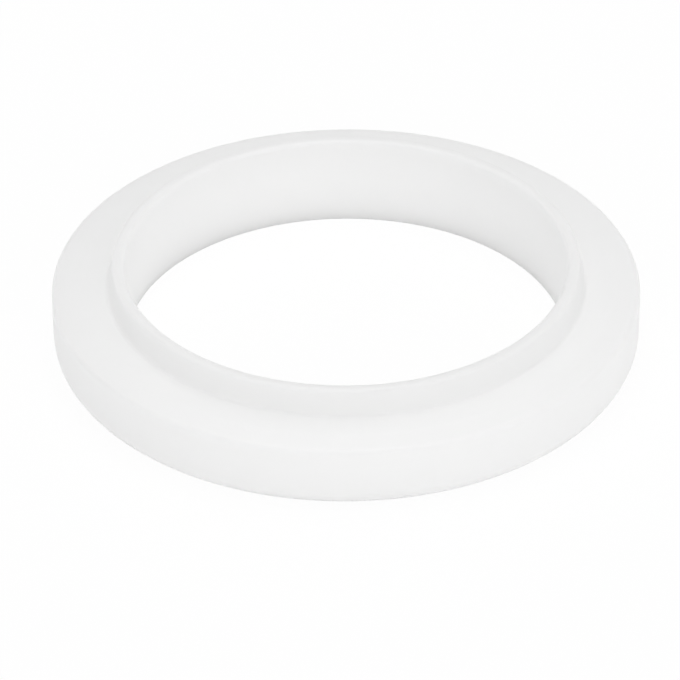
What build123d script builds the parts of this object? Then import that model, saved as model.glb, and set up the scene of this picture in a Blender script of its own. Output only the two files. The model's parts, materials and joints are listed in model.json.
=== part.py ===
"""Espresso group head gasket: one moulded silicone ring with a collar.

Millimetres, +Z up. The origin is on the ring's axis, at its underside.
The ring stands as it lies on a table: rounded edge down, collar up.
"""
import os

from build123d import *

# Driving sizes of the ring's section
bore_diameter = 54.0  # clears the boss inside the group head
ring_width = 9.0  # from the bore to the outer wall
body_height = 8.5  # from the underside to the shoulder
collar_height = 3.2  # how far the collar stands above the shoulder
collar_root_width = 2.2  # the collar's wall where it leaves the shoulder
collar_rim_width = 1.5  # the collar's wall at its rim, thinner by the mould's draft

# Driving sizes of the edges
margin_width = 3.4  # outer margin of the shoulder, which slopes down from level
margin_drop = 0.25  # how far the margin falls by the outer wall
heel_round = 2.6  # outer lower edge, which leads the ring into its groove
root_fillet = 0.4  # inside corner between shoulder and collar
rim_inner_round = 0.5  # edge of the collar's rim at the bore
rim_outer_break = 0.4  # outer edge of the collar's rim
shoulder_break = 0.15  # outer upper edge of the body
mouth_break = 0.4  # lower edge of the bore

# Places that follow from them
bore_radius = bore_diameter / 2
outer_radius = bore_radius + ring_width
root_radius = bore_radius + collar_root_width
rim_radius = bore_radius + collar_rim_width
rim_height = body_height + collar_height
level_shelf_edge = max(outer_radius - margin_width, root_radius + root_fillet)

# Corners of the section, as radius and height
mouth = (bore_radius, 0)
heel = (outer_radius, 0)
shoulder = (outer_radius, body_height - margin_drop)
margin_start = (level_shelf_edge, body_height)
collar_root = (root_radius, body_height)
rim_outer = (rim_radius, rim_height)
rim_inner = (bore_radius, rim_height)

rounds = {heel: heel_round, collar_root: root_fillet, rim_inner: rim_inner_round}
breaks = {shoulder: shoulder_break, rim_outer: rim_outer_break, mouth: mouth_break}


def gasket_section():
    """Half section of the ring, drawn beside the axis, with its edges rounded and broken."""
    with BuildSketch(Plane.XZ) as section:
        with BuildLine():
            Polyline(
                margin_start, collar_root, rim_outer, rim_inner, mouth, heel, shoulder, close=True
            )
        make_face()
        for corner, radius in rounds.items():
            fillet(section.vertices().sort_by_distance(Vector(*corner))[0], radius)
        for corner, leg in breaks.items():
            chamfer(section.vertices().sort_by_distance(Vector(*corner))[0], leg)
    return section.sketch


gasket_ring = revolve(gasket_section(), axis=Axis.Z)

os.makedirs("parts", exist_ok=True)
export_step(gasket_ring, "parts/gasket_ring.step")
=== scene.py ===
"""Espresso group head gasket: a moulded ring of milky silicone, lying collar up.

Metres, +Z up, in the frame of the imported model: the ring's axis is Z, its underside is at 0.
"""
import json
import math

import bpy
from mathutils import Matrix, Vector


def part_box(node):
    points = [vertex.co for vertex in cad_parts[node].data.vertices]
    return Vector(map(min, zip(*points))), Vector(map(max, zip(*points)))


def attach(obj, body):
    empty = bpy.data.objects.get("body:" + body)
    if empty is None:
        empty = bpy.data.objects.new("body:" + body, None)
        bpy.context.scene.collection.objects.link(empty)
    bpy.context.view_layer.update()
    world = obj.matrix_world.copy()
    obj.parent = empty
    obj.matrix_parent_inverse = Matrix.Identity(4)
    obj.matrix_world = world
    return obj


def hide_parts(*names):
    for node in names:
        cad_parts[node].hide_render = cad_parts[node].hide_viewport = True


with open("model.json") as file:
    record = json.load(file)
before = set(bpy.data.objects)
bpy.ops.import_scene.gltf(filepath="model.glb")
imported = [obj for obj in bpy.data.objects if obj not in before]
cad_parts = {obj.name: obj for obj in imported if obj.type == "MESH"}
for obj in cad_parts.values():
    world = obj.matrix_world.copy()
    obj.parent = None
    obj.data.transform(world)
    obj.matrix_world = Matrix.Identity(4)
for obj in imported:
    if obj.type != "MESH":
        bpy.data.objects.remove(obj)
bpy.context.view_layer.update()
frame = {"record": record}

# The gasket ring is a single piece of milky silicone, moulded to its full form in a
# turned steel mould. The thin collar goes up into the group head, the body fills the
# groove there, and the filter holder locks up against the flat underside.
MM = 0.001
ring_low, ring_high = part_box("gasket_ring")
mounts = {mount["name"]: mount for mount in frame["record"]["mounts"]}
bore_radius = mounts["bore"]["dims"]["r_mm"] * MM
shoulder_height = mounts["shoulder"]["pos_m"][2]

section_sizes = {
    "Bore Radius": bore_radius,
    "Ring Width": ring_high.x - bore_radius,
    "Body Height": shoulder_height,
    "Rim Height": ring_high.z,
    "Collar Root Width": 2.2 * MM,
    "Collar Rim Width": 1.5 * MM,
    "Margin Width": 3.4 * MM,
    "Margin Drop": 0.25 * MM,
    "Margin Round": 6.0 * MM,
    "Heel Round": 2.6 * MM,
    "Shoulder Round": 0.6 * MM,
    "Root Fillet": 0.4 * MM,
    "Rim Outer Round": 0.5 * MM,
    "Rim Inner Round": 0.5 * MM,
    "Mouth Round": 0.2 * MM,
    "Facet Length": 0.35 * MM,
}
section_counts = {
    "Facets Around": 360,
    "Facets In A Round": 7,
}
cloud_size = 14 * MM
cloud_dim = (0.95, 0.95, 0.945, 1.0)
cloud_pale = (0.97, 0.97, 0.965, 1.0)
grain_size = 0.3 * MM
grain_share = 0.6
turned_ring_size = 0.5 * MM
skin_depth = 0.004 * MM
skin_roughness = 0.34
roughness_spread = 0.12
refractive_index = 1.41
light_travel = 6.0 * MM
scattered_share = 0.75


class Value:
    """A socket in a node tree. Python's operators on it add Math nodes."""

    def __init__(self, tree, socket=None):
        self.tree = tree
        self.socket = socket

    def node(self, kind, settings=None, links=None, output=0):
        """Adds a node. Its settings are made first, then its sockets' values or links."""
        made = self.tree.nodes.new(kind)
        for name, setting in (settings or {}).items():
            if name == "stops":
                for element, (place, colour) in zip(made.color_ramp.elements, setting):
                    element.position = place
                    element.color = colour
            else:
                setattr(made, name, setting)
        for name, given in (links or {}).items():
            if isinstance(given, Value):
                self.tree.links.new(given.socket, made.inputs[name])
            else:
                made.inputs[name].default_value = given
        return Value(self.tree, made.outputs[output] if made.outputs else None)

    def also(self, output):
        """Another output of the node that this one comes from."""
        return Value(self.tree, self.socket.node.outputs[output])

    def sum(self, operation, *parts):
        return self.node("ShaderNodeMath", {"operation": operation}, dict(enumerate(parts)))

    def __add__(self, other):
        return self.sum("ADD", self, other)

    def __radd__(self, other):
        return self.sum("ADD", other, self)

    def __sub__(self, other):
        return self.sum("SUBTRACT", self, other)

    def __rsub__(self, other):
        return self.sum("SUBTRACT", other, self)

    def __mul__(self, other):
        return self.sum("MULTIPLY", self, other)

    def __rmul__(self, other):
        return self.sum("MULTIPLY", other, self)

    def __truediv__(self, other):
        return self.sum("DIVIDE", self, other)

    def __pow__(self, other):
        return self.sum("POWER", self, other)

    def __neg__(self):
        return self.sum("MULTIPLY", self, -1.0)

    def __abs__(self):
        return self.sum("ABSOLUTE", self)

    def at_least(self, other):
        return self.sum("MAXIMUM", self, other)


def ring_tree():
    """Draws half a section of the ring from its sizes, and sweeps it round the bore."""
    tree = bpy.data.node_groups.new("ring_from_section", "GeometryNodeTree")
    for name in section_sizes:
        tree.interface.new_socket(name, in_out="INPUT", socket_type="NodeSocketFloat")
    for name in section_counts:
        tree.interface.new_socket(name, in_out="INPUT", socket_type="NodeSocketInt")
    tree.interface.new_socket("Material", in_out="INPUT", socket_type="NodeSocketMaterial")
    tree.interface.new_socket("Geometry", in_out="OUTPUT", socket_type="NodeSocketGeometry")
    inputs = tree.nodes.new("NodeGroupInput")
    size = {socket.name: Value(tree, socket) for socket in inputs.outputs}
    add = Value(tree).node

    # Corners of the section: distance from the bore, height, and the round that each gets
    width = size["Ring Width"]
    shelf = size["Body Height"]
    rim = size["Rim Height"]
    corners = [
        (0.0, 0.0, size["Mouth Round"]),
        (width, 0.0, size["Heel Round"]),
        (width, shelf - size["Margin Drop"], size["Shoulder Round"]),
        (width - size["Margin Width"], shelf, size["Margin Round"]),
        (size["Collar Root Width"], shelf, size["Root Fillet"]),
        (size["Collar Rim Width"], rim, size["Rim Outer Round"]),
        (0.0, rim, size["Rim Inner Round"]),
    ]

    def one_for_each_corner(kind, values):
        """A field with a value for each corner of the section."""
        switch = add("GeometryNodeIndexSwitch", {"data_type": kind})
        items = switch.socket.node.index_switch_items
        while len(items) < len(values):
            items.new()
        tree.links.new(add("GeometryNodeInputIndex").socket, switch.socket.node.inputs["Index"])
        for number, value in enumerate(values):
            tree.links.new(value.socket, switch.socket.node.inputs[str(number)])
        return switch

    places = [
        add("ShaderNodeCombineXYZ", links={"X": out, "Z": height}) for out, height, _ in corners
    ]
    rounds = [edge for _, _, edge in corners]
    line = add("GeometryNodeCurvePrimitiveLine")
    line = add("GeometryNodeResampleCurve", links={"Curve": line, "Count": len(corners)})
    line = add("GeometryNodeSetSplineCyclic", links={"Geometry": line, "Cyclic": True})
    line = add(
        "GeometryNodeSetPosition",
        links={"Geometry": line, "Position": one_for_each_corner("VECTOR", places)},
    )
    line = add(
        "GeometryNodeFilletCurve",
        {"mode": "POLY"},
        {
            "Curve": line,
            "Count": size["Facets In A Round"],
            "Radius": one_for_each_corner("FLOAT", rounds),
            "Limit Radius": True,
        },
    )

    # The straight stretches are cut into short facets, so that the rounds keep their shading
    here = add("GeometryNodeInputPosition")
    next_point = add("GeometryNodeOffsetPointInCurve", links={"Offset": 1}, output="Point Index")
    there = add(
        "GeometryNodeFieldAtIndex",
        {"data_type": "FLOAT_VECTOR"},
        {"Index": next_point, "Value": here},
    )
    stretch = add("ShaderNodeVectorMath", {"operation": "DISTANCE"}, {0: here, 1: there}, "Value")
    cuts = add(
        "FunctionNodeFloatToInt",
        {"rounding_mode": "FLOOR"},
        {"Float": stretch / size["Facet Length"]},
    )
    line = add("GeometryNodeSubdivideCurve", links={"Curve": line, "Cuts": cuts})
    upright = add(
        "GeometryNodeTransform",
        links={"Geometry": line, "Rotation": (math.radians(90), 0.0, 0.0)},
    )
    bore = add(
        "GeometryNodeCurvePrimitiveCircle",
        links={"Resolution": size["Facets Around"], "Radius": size["Bore Radius"]},
    )
    bore = add("GeometryNodeSetCurveNormal", {"mode": "Z_UP"}, {"Curve": bore})
    ring = add("GeometryNodeCurveToMesh", links={"Curve": bore, "Profile Curve": upright})
    ring = add("GeometryNodeSetShadeSmooth", links={"Geometry": ring, "Shade Smooth": True})
    ring = add("GeometryNodeRealizeInstances", links={"Geometry": ring})
    ring = add(
        "GeometryNodeSetMaterial", links={"Geometry": ring, "Material": size["Material"]}
    )
    add("NodeGroupOutput", links={"Geometry": ring})
    return tree


def milky_silicone():
    """Milky silicone, a little cloudy, with the grain and the faint turned rings of its mould."""
    material = bpy.data.materials.new("milky_silicone")
    material.use_nodes = True
    tree = material.node_tree
    tree.nodes.clear()
    add = Value(tree).node
    place = add("ShaderNodeTexCoord", output="Object")

    clouds = add(
        "ShaderNodeTexNoise",
        links={"Vector": place, "Scale": 1 / cloud_size, "Detail": 3.0, "Roughness": 0.5},
    )
    colour = add(
        "ShaderNodeValToRGB",
        {"stops": [(0.3, cloud_dim), (0.7, cloud_pale)]},
        {"Fac": clouds},
    )

    grain = add(
        "ShaderNodeTexNoise",
        links={"Vector": place, "Scale": 1 / grain_size, "Detail": 2.0, "Roughness": 0.6},
    )
    flat_place = add(
        "ShaderNodeVectorMath", {"operation": "MULTIPLY"}, {0: place, 1: (1.0, 1.0, 0.0)}
    )
    radius = add("ShaderNodeVectorMath", {"operation": "LENGTH"}, {0: flat_place}, "Value")
    height = add("ShaderNodeSeparateXYZ", links={"Vector": place}, output="Z")
    turned = add(
        "ShaderNodeTexNoise",
        links={
            "Vector": add("ShaderNodeCombineXYZ", links={"X": radius, "Y": height}),
            "Scale": 1 / turned_ring_size,
            "Detail": 2.0,
        },
    )
    skin = add(
        "ShaderNodeBump",
        links={"Strength": 1.0, "Distance": skin_depth, "Height": grain * grain_share + turned},
    )
    surface = add(
        "ShaderNodeBsdfPrincipled",
        links={
            "Base Color": colour,
            "Roughness": skin_roughness + (clouds - 0.5) * roughness_spread,
            "IOR": refractive_index,
            "Subsurface Weight": scattered_share,
            "Subsurface Radius": (1.0, 1.0, 1.0),
            "Subsurface Scale": light_travel,
            "Normal": skin,
        },
    )
    add("ShaderNodeOutputMaterial", links={"Surface": surface})
    return material


def made_by_nodes(name, tree, inputs):
    """A plain mesh object, made by a node tree that is run once with these inputs."""
    made = bpy.data.objects.new(name, bpy.data.meshes.new(name))
    bpy.context.scene.collection.objects.link(made)
    maker = made.modifiers.new("maker", "NODES")
    maker.node_group = tree
    for socket in tree.interface.items_tree:
        if socket.in_out == "INPUT":
            maker[socket.identifier] = inputs[socket.name]
    graph = bpy.context.evaluated_depsgraph_get()
    mesh = bpy.data.meshes.new_from_object(made.evaluated_get(graph), depsgraph=graph)
    made.modifiers.clear()
    made.data = mesh
    return made


silicone = milky_silicone()
silicone_ring = made_by_nodes(
    "silicone_ring", ring_tree(), {**section_sizes, **section_counts, "Material": silicone}
)
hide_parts("gasket_ring")
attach(silicone_ring, "root")

# The table is a plain pale sheet. The camera sees it white, apart from the ring's soft
# shadow. Mirrored in the ring's skin it keeps most of that shadow, which darkens the flanks.
floor_reach = 1.5
floor_colour = (0.9, 0.9, 0.9, 1.0)
floor_white_seen = 0.93
floor_white_mirrored = 0.1
table_glow = 0.145


def white_share(tree, seen, mirrored):
    """How much plain white is shown to the camera's rays, and to mirrored and passing rays."""
    straight = Value(tree).node("ShaderNodeLightPath", output="Is Camera Ray")
    turned = straight.also("Is Glossy Ray") + straight.also("Is Transmission Ray")
    return straight * seen + turned * mirrored


def pale_sheet():
    """A matt pale sheet with a faint glow, which the camera sees mostly as plain white."""
    material = bpy.data.materials.new("pale_sheet")
    material.use_nodes = True
    tree = material.node_tree
    tree.nodes.clear()
    add = Value(tree).node
    sheet = add("ShaderNodeBsdfDiffuse", links={"Color": floor_colour})
    glow = add("ShaderNodeEmission", links={"Strength": table_glow})
    lit = add("ShaderNodeAddShader", links={0: sheet, 1: glow})
    white = add("ShaderNodeEmission", links={"Strength": 1.0})
    share = white_share(tree, floor_white_seen, floor_white_mirrored)
    shown = add("ShaderNodeMixShader", links={0: share, 1: lit, 2: white})
    add("ShaderNodeOutputMaterial", links={"Surface": shown})
    return material


floor_mesh = bpy.data.meshes.new("floor")
floor_mesh.from_pydata(
    [(x, y, 0.0) for x, y in ((-1, -1), (1, -1), (1, 1), (-1, 1))], [], [(0, 1, 2, 3)]
)
floor_mesh.transform(Matrix.Scale(floor_reach, 4))
floor_mesh.materials.append(pale_sheet())
floor = bpy.data.objects.new("floor", floor_mesh)
bpy.context.scene.collection.objects.link(floor)

# The studio is a pale room, brightest in front and on the right, with soft lamps. Each is a
# round of cloth 0.3 m wide: one overhead, one high behind, and weak ones nearer the table.
room_levels = {"walls": 0.24, "ceiling": 0.37, "front": 1.08, "left": 0.37, "right": 0.91}
lamp_distance = 0.45
lamp_width = 0.3
lamps = {
    "overhead": {"azimuth": 0, "elevation": 90, "level": 0.205},
    "back": {"azimuth": 180, "elevation": 62, "level": 0.145},
    "front_left": {"azimuth": 315, "elevation": 38, "level": 0.07},
    "front_right": {"azimuth": 45, "elevation": 38, "level": 0.04},
    "low_back_left": {"azimuth": 225, "elevation": 12, "level": 0.05},
}


def studio_room():
    """The light of the room's walls, with white where the room or its mirror image is seen."""
    world = bpy.data.worlds.new("studio")
    world.use_nodes = True
    tree = world.node_tree
    tree.nodes.clear()
    add = Value(tree).node
    direction = add("ShaderNodeTexCoord", output="Generated")
    across = add("ShaderNodeSeparateXYZ", links={"Vector": direction}, output="X")
    up = across.also("Z")
    sides = {"front": -across.also("Y"), "left": -across, "right": across}
    level = (1.0 - abs(up)) * room_levels["walls"] + up.at_least(0.0) * room_levels["ceiling"]
    for side, part in sides.items():
        level = level + part.at_least(0.0) ** 2 * room_levels[side]
    light = add("ShaderNodeBackground", links={"Strength": level})
    white = add("ShaderNodeBackground", links={"Strength": 1.0})
    shown = add("ShaderNodeMixShader", links={0: white_share(tree, 1.0, 1.0), 1: light, 2: white})
    add("ShaderNodeOutputWorld", links={"Surface": shown})
    return world


bpy.context.scene.world = studio_room()

for name, lamp in lamps.items():
    azimuth = math.radians(lamp["azimuth"])
    elevation = math.radians(lamp["elevation"])
    towards = Vector(
        (
            math.sin(azimuth) * math.cos(elevation),
            -math.cos(azimuth) * math.cos(elevation),
            math.sin(elevation),
        )
    )
    light = bpy.data.lights.new(name, "AREA")
    light.shape = "DISK"
    light.size = lamp_width
    light.energy = lamp["level"] * math.pi**2 * lamp_distance**2
    holder = bpy.data.objects.new(name, light)
    holder.location = towards * lamp_distance
    holder.rotation_euler = (-towards).to_track_quat("-Z", "Y").to_euler()
    bpy.context.scene.collection.objects.link(holder)

# The camera looks down along +Y from in front, with a long lens. The distance and the
# angles come from how the near and the far side of the ring differ in width.
look_down = math.radians(34.19)
roll = math.radians(-0.342)
camera_distance = 530.0 * MM
aim_left = 0.78 * MM
aim_below = 7.40 * MM
pixels_per_mm = 8.166
image_width = 680

camera_data = bpy.data.cameras.new("camera")
camera_data.lens = camera_data.sensor_width * pixels_per_mm * (camera_distance / MM) / image_width
camera_data.clip_start = 0.01
camera_data.clip_end = 10.0
camera = bpy.data.objects.new("camera", camera_data)
forward = Vector((0.0, math.cos(look_down), -math.sin(look_down)))
upward = Vector((0.0, math.sin(look_down), math.cos(look_down)))
aim = Vector((-aim_left, 0.0, shoulder_height)) - upward * aim_below
turn = Matrix.Rotation(math.pi / 2 - look_down, 4, "X") @ Matrix.Rotation(roll, 4, "Z")
camera.matrix_world = Matrix.Translation(aim - forward * camera_distance) @ turn
bpy.context.scene.collection.objects.link(camera)
bpy.context.scene.camera = camera

bpy.context.scene.view_settings.view_transform = "Standard"
